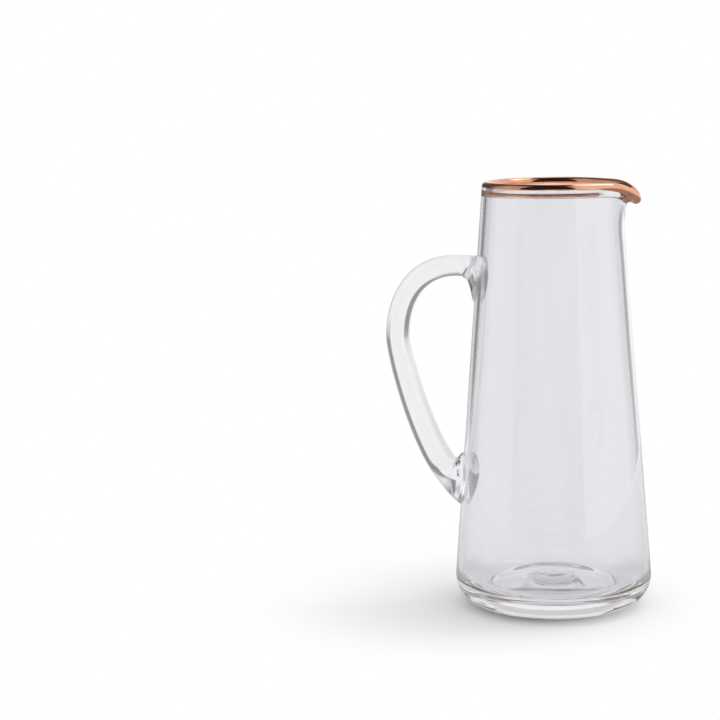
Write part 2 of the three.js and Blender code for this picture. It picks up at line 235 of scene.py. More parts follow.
class PitcherStageSettings(bpy.types.PropertyGroup):
    camera_distance: length("Camera distance", "Body's axis to the camera, along the floor", 1.216)
    camera_height: length("Camera height", "Floor to the camera", 0.322)
    camera_around: angle("Camera around", "Turn of the camera about the axis, towards the spout", 8)
    camera_yaw: angle("Camera yaw", "Turn of the view away from the axis, to the left", 5.35)
    camera_pitch: angle("Camera pitch", "How far the camera looks down", 8.17)
    camera_roll: angle("Camera roll", "Turn of the picture", -1.06)
    lens: bpy.props.FloatProperty(
        name="Lens", description="Focal length in millimetres on a 36 mm sensor", default=103.65, min=1.0)
    floor_radius: length("Floor radius", "Radius of the floor", 0.6)
    floor_colour: colour("Floor colour", "Colour of the floor", (0.95, 0.95, 0.95))
    level: bpy.props.FloatProperty(
        name="Level", description="Plain level of the light from all round", default=1.0, min=0.0)
    dark: colour("Dark", "Colour of the unlit side of the studio, as metal shows it", (0.03, 0.017, 0.013))
    dim_level: share("Dim level", "Level of the unlit side of the studio, as glass shows it", 0.7)
    roof_level: share("Roof level", "Level overhead, as glass shows it", 0.35)
    metal_floor: share("Metal floor", "Level of the floor, as metal shows it", 0.42)
    side_level: share("Side level", "Level of the floor on either side, as glass shows it", 0.8)
    near_white: share("Near white", "Share of plain white in the floor near the jug, as glass shows it", 0.75)
    under_side: share("Under side", "Share of the side level under the jug", 0.6)
    far_fade: share("Far fade", "Share of the side level that is lost far from the jug", 0.6)
    horizon_side: share("Horizon side", "Share of the side level in the studio beside the floor", 0.4)
    wall_dark: share("Wall, dark", "Level of the left wall at the back, as metal shows it", 0.1)
    wall_mid: share("Wall, middle", "Level of the left wall at the front, as metal shows it", 0.62)
    shade_left: length("Shade left", "Body's axis to the middle of the shadow, to the left", 0.05)
    shade_near: length("Shade near", "Distance from there at which the camera starts to see white", 0.05)
    shade_far: length("Shade far", "Distance from there beyond which all is plain white", 0.16)
    flag_level: share("Flag level", "Level of the two flags that draw the edges of the glass", 0.28)
    lamp_power: bpy.props.FloatProperty(
        name="Lamp power", description="Power of the soft lamp", default=3.0, min=0.0, unit="POWER")
    lamp_size: length("Lamp size", "Side of the square soft lamp", 0.6)
    lamp_right: length("Lamp right", "Body's axis to the lamp, to the right", 0.7)
    lamp_back: length("Lamp back", "Body's axis to the lamp, to the back", 0.36)
    lamp_height: length("Lamp height", "Floor to the lamp", 1.6)
    lamp_aim: length("Lamp aim", "Height on the axis that the lamp points at", 0.1)
    bounces: bpy.props.IntProperty(
        name="Bounces", description="How often light may meet glass or metal as it runs along the wall",
        default=160, min=1)


PROPERTY_GROUPS = {
    "pitcher_glass": PitcherGlassSizes,
    "pitcher_spout": PitcherSpoutSizes,
    "pitcher_band": PitcherBandSizes,
    "pitcher_handle": PitcherHandleSizes,
    "pitcher_finish": PitcherFinishes,
    "pitcher_stage": PitcherStageSettings,
}


class Wire:
    """A shader socket. An expression on wires and numbers adds the Math nodes that work it out."""

    def __init__(self, tree, socket=None):
        self.tree = tree
        self.socket = socket

    def node(self, kind, settings=None, inputs=None, output=0):
        """Adds a node, sets its settings, then gives its sockets values or links, and returns one output."""
        made = self.tree.nodes.new(kind)
        for key, value in (settings or {}).items():
            setattr(made, key, value)
        for key, value in (inputs or {}).items():
            if isinstance(value, Wire):
                self.tree.links.new(value.socket, made.inputs[key])
            else:
                made.inputs[key].default_value = value
        return Wire(self.tree, made.outputs[output]) if len(made.outputs) else None

    def math(self, operation, left, right=0.0):
        return self.node("ShaderNodeMath", {"operation": operation}, {0: left, 1: right})

    def __add__(self, other):
        return self.math("ADD", self, other)

    def __sub__(self, other):
        return self.math("SUBTRACT", self, other)

    def __mul__(self, other):
        return self.math("MULTIPLY", self, other)

    def __truediv__(self, other):
        return self.math("DIVIDE", self, other)

    def __rsub__(self, other):
        return self.math("SUBTRACT", other, self)

    def __rtruediv__(self, other):
        return self.math("DIVIDE", other, self)

    __radd__ = __add__
    __rmul__ = __mul__

    def step(self, start, end):
        """Smooth step from 0 at start to 1 at end."""
        return self.node(
            "ShaderNodeMapRange", {"interpolation_type": "SMOOTHSTEP"},
            {0: self, 1: start, 2: end, 3: 0.0, 4: 1.0})

    def between(self, low, high, soft):
        """1 between low and high, falling smoothly to 0 over a soft margin outside them."""
        return self.step(low - soft, low) * (1.0 - self.step(high, high + soft))

    def blend(self, first, second):
        """Colour that goes from the first to the second as this wire goes from 0 to 1."""
        return self.node("ShaderNodeMix", {"data_type": "RGBA"}, {0: self, 6: first, 7: second}, 2)

    def noise(self, cells, detail):
        """Noise on Object coordinates, with a number of cells per metre along each axis."""
        place = self.node("ShaderNodeTexCoord", output="Object")
        stretched = self.node("ShaderNodeMapping", None, {"Vector": place, "Scale": cells})
        return self.node("ShaderNodeTexNoise", None, {"Vector": stretched, "Scale": 1.0, "Detail": detail})


def opaque(rgb):
    return (*rgb, 1.0)


def grey(level):
    return (level, level, level, 1.0)


def new_material(name):
    material = bpy.data.materials.new(name)
    material.use_nodes = True
    material.node_tree.nodes.clear()
    return material, Wire(material.node_tree)


def blown_glass(name, finish):
    """Clear glass: tall faint streaks in its colour and very slight waves in its surface."""
    material, wire = new_material(name)
    streaks = wire.noise(GLASS_STREAKS, 2.0)
    waves = wire.noise(GLASS_WAVES, 1.0)
    normal = wire.node("ShaderNodeBump", None, {
        "Strength": finish.glass_relief, "Distance": 0.0006, "Height": waves}, "Normal")
    shader = wire.node("ShaderNodeBsdfPrincipled", None, {
        "Base Color": streaks.step(0.35, 0.7).blend(opaque(finish.glass), opaque(finish.glass_streak)),
        "Roughness": 0.0,
        "IOR": finish.index,
        "Transmission Weight": 1.0,
        "Normal": normal,
    })
    wire.node("ShaderNodeOutputMaterial", None, {"Surface": shader})
    return material


def fused_joint(name):
    """Where the handle is fused to the wall there is no surface, so light goes straight on."""
    material, wire = new_material(name)
    shader = wire.node("ShaderNodeBsdfTransparent")
    wire.node("ShaderNodeOutputMaterial", None, {"Surface": shader})
    return material


def fired_metal(name, main_colour, patch_colour, relief):
    """Polished metal fired onto glass: cloudy patches of a second colour and faint brush marks."""
    material, wire = new_material(name)
    clouds = wire.noise(METAL_CLOUDS, 3.0)
    marks = wire.noise(METAL_MARKS, 2.0)
    normal = wire.node("ShaderNodeBump", None, {
        "Strength": relief, "Distance": 0.0002, "Height": marks}, "Normal")
    shader = wire.node("ShaderNodeBsdfPrincipled", None, {
        "Base Color": clouds.step(0.35, 0.75).blend(opaque(main_colour), opaque(patch_colour)),
        "Metallic": 1.0,
        "Roughness": 0.05 + 0.09 * clouds,
        "Normal": normal,
    })
    wire.node("ShaderNodeOutputMaterial", None, {"Surface": shader})
    return material


def material_named(name, maker, *values):
    return bpy.data.materials.get(name) or maker(name, *values)


def wave(count, start, end):
    """Half a cosine wave between two (radius, height) points, level at both ends."""
    t = np.linspace(0, 1, count)
    return start[0] + (end[0] - start[0]) * t, start[1] + (end[1] - start[1]) * (1 - np.cos(np.pi * t)) / 2


def arc(count, centre, radius, start, end):
    """Part of a circle around a (radius, height) centre."""
    turn = np.linspace(start, end, count)
    return centre[0] + radius * np.cos(turn), centre[1] + radius * np.sin(turn)


def smooth(value, start, end):
    """Smooth step from 0 at start to 1 at end, also where end lies below start."""
    t = np.clip((value - start) / (end - start), 0, 1)
    return t * t * (3 - 2 * t)


def wall_line(glass):
    """Lean of the straight wall and its distance from the axis square to it. The line touches the heel's
    circle and passes through the end of the lip."""
    heel_centre = glass.base_radius - glass.heel_radius
    across, up = glass.lip_radius - heel_centre, glass.height - glass.heel_radius
    lean = math.asin(glass.heel_radius / math.hypot(across, up)) - math.atan2(across, up)
    return lean, heel_centre * math.cos(lean) + glass.heel_radius * (1 + math.sin(lean))


def wall_radius(glass, z, inset=0.0):
    """Radius of the straight wall at a height, at an inset below its outside."""
    lean, offset = wall_line(glass)
    return (offset - inset - z * math.sin(lean)) / math.cos(lean)


def spout_angle(spout, along, lean):
    """Angle between the spout's middle line and the axis at a share of its length."""
    return spout.flare * along ** 2 + spout.turn * smooth(along, spout.turn_start, spout.turn_end) - lean


def bell(theta, spread, power=2, rounding=0):
    """1 in the middle, dying away with a power of the angle about the axis, and rounded in the middle."""
    return np.exp(rounding ** power - ((theta / spread) ** 2 + rounding ** 2) ** (power / 2))


def lip_surface(glass, spout, below, depth, theta):
    """Radius and height of points given by their distance below the end of the wall, depth below the outside
    and angle about the axis. The straight wall is moved towards the spout's middle line, outwards and down by
    two bell curves of the angle, and the depth is measured square to the moved line."""
    lean, _ = wall_line(glass)
    start_r = glass.lip_radius + spout.zone * math.sin(lean)
    start_z = glass.height - spout.zone * math.cos(lean)
    steps = np.linspace(0, 1, SPOUT_STEPS + 1)
    middles = spout_angle(spout, (steps[1:] + steps[:-1]) / 2, lean)
    bent_r = np.concatenate([[0], np.cumsum(np.sin(middles))]) * spout.length / SPOUT_STEPS
    bent_z = np.concatenate([[0], np.cumsum(np.cos(middles))]) * spout.length / SPOUT_STEPS
    along = 1 - below / spout.zone
    turned = spout_angle(spout, along, lean)
    reach = bell(theta, spout.reach_spread, spout.reach_power, spout.rounding)
    dip = bell(theta, spout.dip_spread, spout.dip_power, spout.rounding)
    plain_r = -along * spout.zone * math.sin(lean)
    plain_z = along * spout.zone * math.cos(lean)
    toward_r = -spout.zone * math.sin(lean) * (1 - reach) + spout.length * np.sin(turned) * reach
    toward_z = spout.zone * math.cos(lean) * (1 - dip) + spout.length * np.cos(turned) * dip
    size = np.hypot(toward_r, toward_z)
    r = start_r + plain_r + (np.interp(along, steps, bent_r) - plain_r) * reach - depth * toward_z / size
    z = start_z + plain_z + (np.interp(along, steps, bent_z) - plain_z) * dip + depth * toward_r / size
    return r, z


def band_edge(band, height, phase, theta):
    """Distance of the metal's edge below the end of the wall: higher at the spout, and wandering a little."""
    drift = 0.6 * np.sin(3 * theta + phase) + 0.4 * np.sin(7 * theta + 2.3 * phase)
    return height + band.spout_extra * bell(theta, band.spout_spread) + band.wander * drift


def band_edges(band, theta):
    """The metal's outer and inner edge."""
    return band_edge(band, band.outside, 0.4, theta), band_edge(band, band.inside, 2.1, theta)


def lip_section(glass, band, lift, theta):
    """Distance below the end of the wall and depth, for rows from the outer edge of the metal over the round
    nose to its inner edge, raised off the glass by a lift."""
    nose = glass.lip_thickness / 2
    turn = np.linspace(0, np.pi, NOSE_ROWS)[:, None] + 0 * theta
    round_below, round_depth = nose - (nose + lift) * np.sin(turn), nose - (nose + lift) * np.cos(turn)
    t = np.linspace(0, 1, EDGE_ROWS + 1)[:-1, None]
    outer, inner = band_edges(band, theta)
    below = np.concatenate([outer + (nose - outer) * t, round_below, (inner + (nose - inner) * t)[::-1]])
    depth = np.concatenate([-lift + 0 * t * theta, round_depth, glass.lip_thickness + lift + 0 * t * theta])
    return below, depth


def pads(glass, handle):
    """Middle height, half height and half width of the upper and the lower pad on the wall, and half the
    angle about the axis over which it is fused."""
    for height, half, side in (
        (handle.top_pad_height, handle.top_pad_half, handle.top_pad_side),
        (handle.bottom_pad_height, handle.bottom_pad_half, handle.bottom_pad_side),
    ):
        yield height, half, side, math.asin(side * handle.fused_share / wall_radius(glass, height))


def column_angles(glass, handle):
    """Angles about the axis for the columns. They fall on the sides of both pads and crowd at the spout."""
    top, bottom = (pad[3] for pad in pads(glass, handle))
    t = np.linspace(0, 1, 112)[1:]
    rest = bottom + (math.pi - bottom) * (t + 0.5 * np.sin(np.pi * t) / np.pi)
    half = np.concatenate([np.linspace(0, top, 15), np.linspace(top, bottom, 4)[1:], rest])
    return np.concatenate([half - math.pi, math.pi - half[1:-1][::-1]])


def wall_rows(glass, spout, handle):
    """Heights of the rows on the straight outside wall. They fall on the ends of both pads."""
    lean, _ = wall_line(glass)
    low = glass.heel_radius * (1 + math.sin(lean))
    high = glass.height - spout.zone * math.cos(lean)
    top_half = handle.top_pad_half * handle.fused_share
    bottom_half = handle.bottom_pad_half * handle.fused_share
    top, bottom = handle.top_pad_height, handle.bottom_pad_height
    stops = [low, bottom - bottom_half, bottom + bottom_half, top - top_half, top + top_half, high]
    counts = (10, 16, 18, 14, 3)
    pieces = [np.linspace(a, b, n + 1)[1:] for a, b, n in zip(stops, stops[1:], counts)]
    return np.concatenate([[low], *pieces])


def seat_pads(glass, handle, theta, z):
    """Slides the wall's grid so that a square of its cells fills each pad's oval exactly: inside the square,
    (p, q) goes to (p sqrt(1 - qq/2), q sqrt(1 - pp/2)), and the slide dies away outside it. Returns the moved
    grid and, for each vertex, how far inside a pad it lies, as the larger of |p| and |q|."""
    away = np.where(theta > 0, math.pi - theta, -math.pi - theta)
    inside = np.full(theta.shape, np.inf)
    for height, half, side, half_angle in pads(glass, handle):
        half, side = half * handle.fused_share, side * handle.fused_share
        p, q = away / half_angle, (z - height) / half
        square = np.maximum(abs(p), abs(q))
        weight = 1 - smooth(square, 1, SLIDE_END)
        cp, cq = (np.clip(share_of, -SLIDE_LIMIT, SLIDE_LIMIT) for share_of in (p, q))
        oval_z = height + half * cq * np.sqrt(1 - cp ** 2 / 2)
        oval_y = side * cp * np.sqrt(1 - cq ** 2 / 2)
        oval_away = np.arcsin(np.clip(oval_y / wall_radius(glass, oval_z), -1, 1))
        away = away + weight * (oval_away - away)
        z = z + weight * (oval_z - z)
        inside = np.minimum(inside, square)
    return np.where(theta > 0, math.pi - away, -math.pi - away), z, inside


def uneven(x, y, seed):
    """Sum of four slanting waves, from -1 to 1, with lengths of 14 to 34 mm."""
    total = 0
    for index, wavelength in enumerate((0.034, 0.026, 0.019, 0.014)):
        slant = seed + 1.9 * index
        total = total + np.sin(TAU * (x * math.cos(slant) + y * math.sin(slant)) / wavelength + 2.7 * slant)
    return total / 4


def rippled(theta, z):
    """Slow waves of the inside wall, around the axis and up the wall, from -1 to 1."""
    total = np.sin(2 * theta + 17 * z + 0.5)
    total = total + np.sin(3 * theta - 41 * z + 2.0)
    total = total + np.sin(5 * theta + 63 * z + 4.1)
    return total / 3 * smooth(z, *WALL_TOP) * smooth(z, *WALL_FOOT)


def under_outlines(glass):
    """Outline from the middle of the underside to the wall, as runs of radius and height: the ground spot,
    half a cosine wave down to the standing ring, the ring, and the heel's circle."""
    lean, _ = wall_line(glass)
    heel_centre = glass.base_radius - glass.heel_radius
    ring_inside = heel_centre - glass.ring_width
    t = np.linspace(0, 1, 12)[1:]
    return [
        (glass.spot_radius * t, glass.punt_height + glass.spot_depth * (1 - t ** glass.spot_power)),
        wave(24, (glass.spot_radius, glass.punt_height), (ring_inside, 0)),
        (np.linspace(ring_inside, heel_centre, 4), np.zeros(4)),
        arc(34, (heel_centre, glass.heel_radius), glass.heel_radius, -math.pi / 2, lean),
    ]


def lip_runs(glass, spout, band, theta):
    """Runs of rows up the outside of the spout's zone, over the metal, and down the inside along the bead,
    its taper and the wall, as distance below the end of the wall, depth below the outside and material."""
    outer, inner = band_edges(band, theta)
    crowded = 1 - (1 - np.linspace(0, 1, 49)[:, None]) ** 1.6
    t_bead, t_taper, t_inside = (np.linspace(0, 1, rows)[:, None] for rows in (7, 15, 27))
    bead = glass.bead_height + glass.bead_spout_extra * bell(theta, band.spout_spread)
    bead_end = bead + glass.bead_taper
    slope = 0.8 * t_taper + 0.2 * smooth(t_taper, 0, 1)
    taper_depth = glass.lip_thickness + (glass.wall - glass.lip_thickness) * slope
    return [
        (spout.zone + (outer - spout.zone) * crowded, 0.0, GLASS),
        (*lip_section(glass, band, 0.0, theta), METAL_BACK),
        (inner + (bead - inner) * t_bead, glass.lip_thickness, GLASS),
        (bead + glass.bead_taper * t_taper, taper_depth, GLASS),
        (bead_end + (spout.zone - bead_end) * t_inside, glass.wall, GLASS),
    ]


def domed_floor(glass, r):
    """Radius and height of the inside floor: level beside the wall, then a broad dome. Its rise is one less a
    power of the share of the dome's radius, all raised to a second power."""
    rise = (1 - np.minimum(r / glass.floor_radius, 1) ** glass.floor_power) ** glass.floor_foot_power
    return r, glass.trough_height + (glass.floor_height - glass.trough_height) * rise


def inside_outlines(glass, start_r, start_z):
    """Outline of the inside from a start on the wall to the middle of the floor, as runs of radius and
    height: the straight wall, the trough's circle and the domed floor."""
    lean, _ = wall_line(glass)
    trough_z = glass.trough_height + glass.trough_radius
    trough_r = wall_radius(glass, trough_z, glass.wall) - glass.trough_radius / math.cos(lean)
    trough = arc(22, (trough_r, trough_z), glass.trough_radius, lean, -math.pi / 2)
    t = np.linspace(0, 1, 30)
    return [
        (start_r + (trough[0][0] - start_r) * t, start_z + (trough[1][0] - start_z) * t),
        trough,
        domed_floor(glass, np.linspace(trough_r, 0, 46)[:-1]),
    ]


def carried_round(outline, theta):
    """Radius, height, angle and material of an outline that is carried around the axis."""
    r, z = outline
    return r[:, None] + 0 * theta, z[:, None] + 0 * theta, theta + 0 * z[:, None], GLASS


def body_grid(glass, spout, band, handle):
    """Body of the jug: one outline per column angle, from the middle of the underside up the outside, over
    the lip and down the inside to the middle of the floor. Returns x, y, z and a material per face."""
    columns = column_angles(glass, handle)[None, :]
    blocks = [carried_round(outline, columns) for outline in under_outlines(glass)]
    wall_block = len(blocks)
    rows = wall_rows(glass, spout, handle)[:, None]
    turned, wall_z, in_pad = seat_pads(glass, handle, *np.broadcast_arrays(columns, rows))
    blocks.append((wall_radius(glass, wall_z), wall_z, turned, GLASS))
    metal_block = len(blocks) + 1
    for below, depth, slot in lip_runs(glass, spout, band, columns):
        r, z = lip_surface(glass, spout, below, depth, columns)
        blocks.append((r, z, columns + 0 * z, slot))
    inside = inside_outlines(glass, blocks[-1][0][-1, 0], blocks[-1][1][-1, 0])
    blocks += [carried_round(outline, columns) for outline in inside]
    # Each block starts with the last row of the one before it.
    r, z, theta = (
        np.concatenate([block[part][min(i, 1):] for i, block in enumerate(blocks)]) for part in range(3))
    slots = np.concatenate([np.full((len(block[0]) - 1, columns.size), block[3]) for block in blocks])
    starts = np.cumsum([0] + [len(block[0]) - 1 for block in blocks])
    sides = np.maximum(in_pad, np.roll(in_pad, -1, axis=1))
    is_fused = np.maximum(sides[1:], sides[:-1]) < 1 + 1e-6
    slots[starts[wall_block]:starts[wall_block + 1]][is_fused] = FUSED
    nose_top = starts[metal_block] + EDGE_ROWS + NOSE_ROWS // 2
    is_inside = np.arange(len(r))[:, None] > nose_top
    x, y = r * np.cos(theta), r * np.sin(theta)
    r = r - glass.ripple * rippled(theta, z) * is_inside
    floor_lift = uneven(x, y, 0.7) * smooth(r, *FLOOR_EDGE)
    under_lift = 0.6 * uneven(x, y, 3.1) * smooth(r, *UNDER_EDGE)
    z = z + glass.unevenness * np.where(is_inside, floor_lift, under_lift) * (z < BASE_TOP)
    return r * np.cos(theta), r * np.sin(theta), z, slots


def band_grid(glass, spout, band, handle):
    """Metal layer: the lip's section raised by the layer's thickness and, back along the other side, raised
    by a hair, carried around the axis."""
    columns = column_angles(glass, handle)[None, :]
    rows = []
    for lift, order in ((band.thickness, 1), (band.thickness / 6, -1)):
        below, depth = lip_section(glass, band, lift, columns)
        r, z = lip_surface(glass, spout, below[::order], depth[::order], columns)
        rows.append((r * np.cos(columns), r * np.sin(columns), z))
    return [np.concatenate(pair) for pair in zip(*rows)]


def handle_line(glass, handle):
    """Centre line of the handle in the plane of the spout: two cubic curves from the upper end over the
    furthest place to the lower end, as points spread evenly along it. Returns x, z and the length."""
    t = np.linspace(0, 1, 400)[:, None]
    weights = np.concatenate([(1 - t) ** 3, 3 * t * (1 - t) ** 2, 3 * t ** 2 * (1 - t), t ** 3], axis=1)
    top = np.array([-wall_radius(glass, handle.top), handle.top])
    bottom = np.array([-wall_radius(glass, handle.bottom), handle.bottom])
    far, up = np.array([-handle.reach, handle.reach_height]), np.array([0.0, 1.0])
    out_top = np.array([-math.cos(handle.top_rise), math.sin(handle.top_rise)])
    out_bottom = np.array([-math.cos(handle.bottom_rise), math.sin(handle.bottom_rise)])
    upper = np.stack([top, top + out_top * handle.top_pull, far + up * handle.upper_arm, far])
    lower = np.stack([far, far - up * handle.lower_arm, bottom + out_bottom * handle.bottom_pull, bottom])
    points = np.concatenate([weights @ upper, (weights @ lower)[1:]])
    gone = np.concatenate([[0], np.cumsum(np.hypot(*np.diff(points, axis=0).T))])
    even = np.linspace(0, gone[-1], 1201)
    return np.interp(even, gone, points[:, 0]), np.interp(even, gone, points[:, 1]), gone[-1]


def handle_grid(glass, handle):
    """Handle: round sections square to the centre line, and at each end a flare of cubic curves from the last
    section to an oval on the wall, closed by the oval itself. Returns x, y, z and a material per face row."""
    line_x, line_z, total = handle_line(glass, handle)
    even = np.linspace(0, total, line_x.size)
    tangent_x, tangent_z = np.gradient(line_x, even), np.gradient(line_z, even)
    turn = np.linspace(0, TAU, 73)[None, :-1]

    def ring(stop):
        """Round sections square to the centre line at stops along it, and the line's direction there."""
        stop = np.asarray(stop)[:, None]
        ax, az = (np.interp(stop, even, values) for values in (tangent_x, tangent_z))
        scale = np.hypot(ax, az)
        ax, az = ax / scale, az / scale
        radius = handle.rod_top + (handle.rod_bottom - handle.rod_top) * stop / total
        x = np.interp(stop, even, line_x) + az * radius * np.cos(turn)
        z = np.interp(stop, even, line_z) - ax * radius * np.cos(turn)
        return np.stack([x, radius * np.sin(turn) + 0 * x, z]), np.stack(np.broadcast_arrays(ax, 0 * x, az))

    def seat(pad, side, scale):
        """Ovals on the wall, smaller by a scale. Outside the fused share they lift off it by the crevice."""
        height, half, width, _ = pad
        y = scale * width * np.sin(turn)
        z = height + side * scale * half * np.cos(turn)
        gap = handle.crevice * smooth(scale, handle.fused_share, 1.0)
        return np.stack([-np.sqrt((wall_radius(glass, z) + gap) ** 2 - y ** 2), y, z])

    def flare(pad, side, stop, rod_pull, wall_pull, tilt, tilt_change):
        """Cubic curves from the oval, which they leave at a tilt from the wall's normal, to the rod."""
        foot = seat(pad, side, np.ones((1, 1)))
        tip, along = ring([stop])
        middle = np.array([0, 0, pad[0]]).reshape(3, 1, 1)
        normal = foot * np.array([1, 1, 0]).reshape(3, 1, 1)
        normal = normal / np.linalg.norm(normal, axis=0)
        inward = (middle - foot) * np.array([0, 1, 1]).reshape(3, 1, 1)
        inward = inward / np.linalg.norm(inward, axis=0)
        slope = tilt + tilt_change * np.cos(turn)
        leave = normal * np.cos(slope) + inward * np.sin(slope)
        t = np.linspace(0, 1, 30)[None, :, None]
        return ((1 - t) ** 3 * foot + 3 * t * (1 - t) ** 2 * (foot + leave * wall_pull)
                + 3 * t ** 2 * (1 - t) * (tip - side * along * rod_pull) + t ** 3 * tip)

    top, bottom = pads(glass, handle)
    fused = np.linspace(0, handle.fused_share, 9)[1:, None]
    spread = np.concatenate([fused, np.linspace(handle.fused_share, 1, 9)[1:, None]])
    t = np.linspace(0, 1, 130)
    rod, _ = ring(handle.top_flare + (total - handle.top_flare - handle.bottom_flare) * t)
    upper = flare(
        top, 1, handle.top_flare, handle.top_rod_pull, handle.top_wall_pull,
        handle.top_tilt, handle.top_tilt_change)
    lower = flare(
        bottom, -1, total - handle.bottom_flare, handle.bottom_rod_pull, handle.bottom_wall_pull,
        handle.bottom_tilt, handle.bottom_tilt_change)
    parts = [seat(top, 1, spread), upper, rod, lower[:, ::-1], seat(bottom, -1, spread[::-1])]
    grid = np.concatenate([part[:, min(i, 1):] for i, part in enumerate(parts)], axis=1)
    slots = np.zeros(grid.shape[1] - 1, dtype=int)
    slots[:len(fused) - 1] = HANDLE_FUSED
    slots[-(len(fused) - 1):] = HANDLE_FUSED
    return grid[0], grid[1], grid[2], slots


def grid_quads(rows, columns, is_loop):
    """Corner numbers of the faces of a grid that closes around its columns and, if a loop, its rows too."""
    row = np.arange(rows if is_loop else rows - 1)[:, None]
    column = np.arange(columns)[None, :]
    here, above, beside = row * columns, (row + 1) % rows * columns, (column + 1) % columns
    corners = (here + column, here + beside, above + beside, above + column)
    return np.stack(np.broadcast_arrays(*corners), axis=-1).reshape(-1, 4)


def make_piece(name, grid, slots, materials, poles=None):
    """Puts a grid of points, moved to the body's axis, into a mesh. Two poles close a grid that isn't a
    loop."""
    rows, columns = grid[0].shape
    points = np.stack(grid, axis=-1).reshape(-1, 3)
    faces = grid_quads(rows, columns, poles is None).tolist()
    slots = list(slots)
    if poles is not None:
        here = np.arange(columns)
        beside = (here + 1) % columns
        first, last = np.full(columns, rows * columns), np.full(columns, rows * columns + 1)
        end = (rows - 1) * columns
        faces += np.stack([first, beside, here], axis=-1).tolist()
        faces += np.stack([here + end, beside + end, last], axis=-1).tolist()
        slots += [slots[0]] * columns + [slots[-1]] * columns
        points = np.concatenate([points, poles])
    points = points + np.array([AXIS_X, 0, 0])
    mesh = bpy.data.meshes.new(name)
    mesh.from_pydata(points.tolist(), [], faces)
    mesh.polygons.foreach_set("material_index", np.array(slots, dtype=np.int32))
    mesh.polygons.foreach_set("use_smooth", np.ones(len(faces), dtype=bool))
    mesh.set_sharp_from_angle(angle=SHARP_BEND)
    mesh.validate()
    mesh.update()
    for material in materials:
        mesh.materials.append(material)
    piece = bpy.data.objects.new(name, mesh)
    bpy.context.scene.collection.objects.link(piece)
    return piece


class PITCHER_OT_body(bpy.types.Operator):
    """Makes the blown glass body"""

    bl_idname = "pitcher.body"
    bl_label = "Make body"

    def execute(self, context):
        scene = context.scene
        glass, finish = scene.pitcher_glass, scene.pitcher_finish
        x, y, z, slots = body_grid(glass, scene.pitcher_spout, scene.pitcher_band, scene.pitcher_handle)
        poles = [[0, 0, glass.punt_height + glass.spot_depth], [0, 0, float(z[-1].mean())]]
        materials = [
            material_named("blown_glass", blown_glass, finish),
            material_named("metal_back", fired_metal, finish.metal_back, finish.metal_back_pale, 0.0),
            material_named("fused_joint", fused_joint),
        ]
        piece = make_piece("pitcher_body", (x, y, z), slots.ravel(), materials, poles)
        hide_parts("glass_body")
        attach(piece, "root")
        return {"FINISHED"}


class PITCHER_OT_handle(bpy.types.Operator):
    """Makes the drawn glass handle with its two pads"""

    bl_idname = "pitcher.handle"
    bl_label = "Make handle"

    def execute(self, context):
        scene = context.scene
        glass, handle = scene.pitcher_glass, scene.pitcher_handle
        x, y, z, slots = handle_grid(glass, handle)
        poles = [[-wall_radius(glass, pad[0]), 0, pad[0]] for pad in pads(glass, handle)]
        materials = [
            material_named("blown_glass", blown_glass, scene.pitcher_finish),
            material_named("fused_joint", fused_joint),
        ]
        piece = make_piece("pitcher_handle", (x, y, z), np.repeat(slots, x.shape[1]), materials, poles)
        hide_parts("handle")
        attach(piece, "root")
        return {"FINISHED"}


class PITCHER_OT_band(bpy.types.Operator):
    """Makes the rose-gold metal layer on the lip"""

    bl_idname = "pitcher.band"
    bl_label = "Make lip band"

    def execute(self, context):
        scene = context.scene
        finish = scene.pitcher_finish
        grid = band_grid(scene.pitcher_glass, scene.pitcher_spout, scene.pitcher_band, scene.pitcher_handle)
        metal = material_named("lip_metal", fired_metal, finish.metal, finish.metal_deep, finish.metal_relief)
        piece = make_piece("lip_band", grid, np.zeros(grid[0].size, dtype=int), [metal])
        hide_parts("rim_band")
        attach(piece, "root")
        return {"FINISHED"}


def turned_about_axis(stage, right, back, up):
    """Point given by its distances to the right of, behind and above the foot of the axis, as the camera
    sees it."""
    around = stage.camera_around
    x = AXIS_X + right * math.cos(around) - back * math.sin(around)
    return Vector((x, right * math.sin(around) + back * math.cos(around), up))


def make_camera(stage):
    """Camera on the circle around the body's axis, turned by its yaw, pitch and roll."""
    data = bpy.data.cameras.new("camera")
    data.sensor_width = 36.0
    data.lens = stage.lens
    camera = bpy.data.objects.new("camera", data)
    yaw, pitch, roll = stage.camera_around + stage.camera_yaw, stage.camera_pitch, stage.camera_roll
    ahead = Vector((-math.sin(yaw) * math.cos(pitch), math.cos(yaw) * math.cos(pitch), -math.sin(pitch)))
    right = Vector((math.cos(yaw), math.sin(yaw), 0))
    up = right.cross(ahead)
    across = math.cos(roll) * right + math.sin(roll) * up
    upright = -math.sin(roll) * right + math.cos(roll) * up
    turn = Matrix((across, upright, -ahead)).transposed()
    place = turned_about_axis(stage, 0, -stage.camera_distance, stage.camera_height)
    camera.matrix_world = Matrix.Translation(place) @ turn.to_4x4()
    bpy.context.scene.collection.objects.link(camera)
    bpy.context.scene.camera = camera


def toward_camera(stage):
    """Level direction from the axis to the camera."""
    return (math.sin(stage.camera_around), -math.cos(stage.camera_around), 0)


def ray_kinds(wire):
    """1 for a ray from the camera, for a ray that was mirrored, and for a ray that came through glass."""
    kinds = ("Camera", "Glossy", "Transmission")
    return [wire.node("ShaderNodeLightPath", output=f"Is {kind} Ray") for kind in kinds]


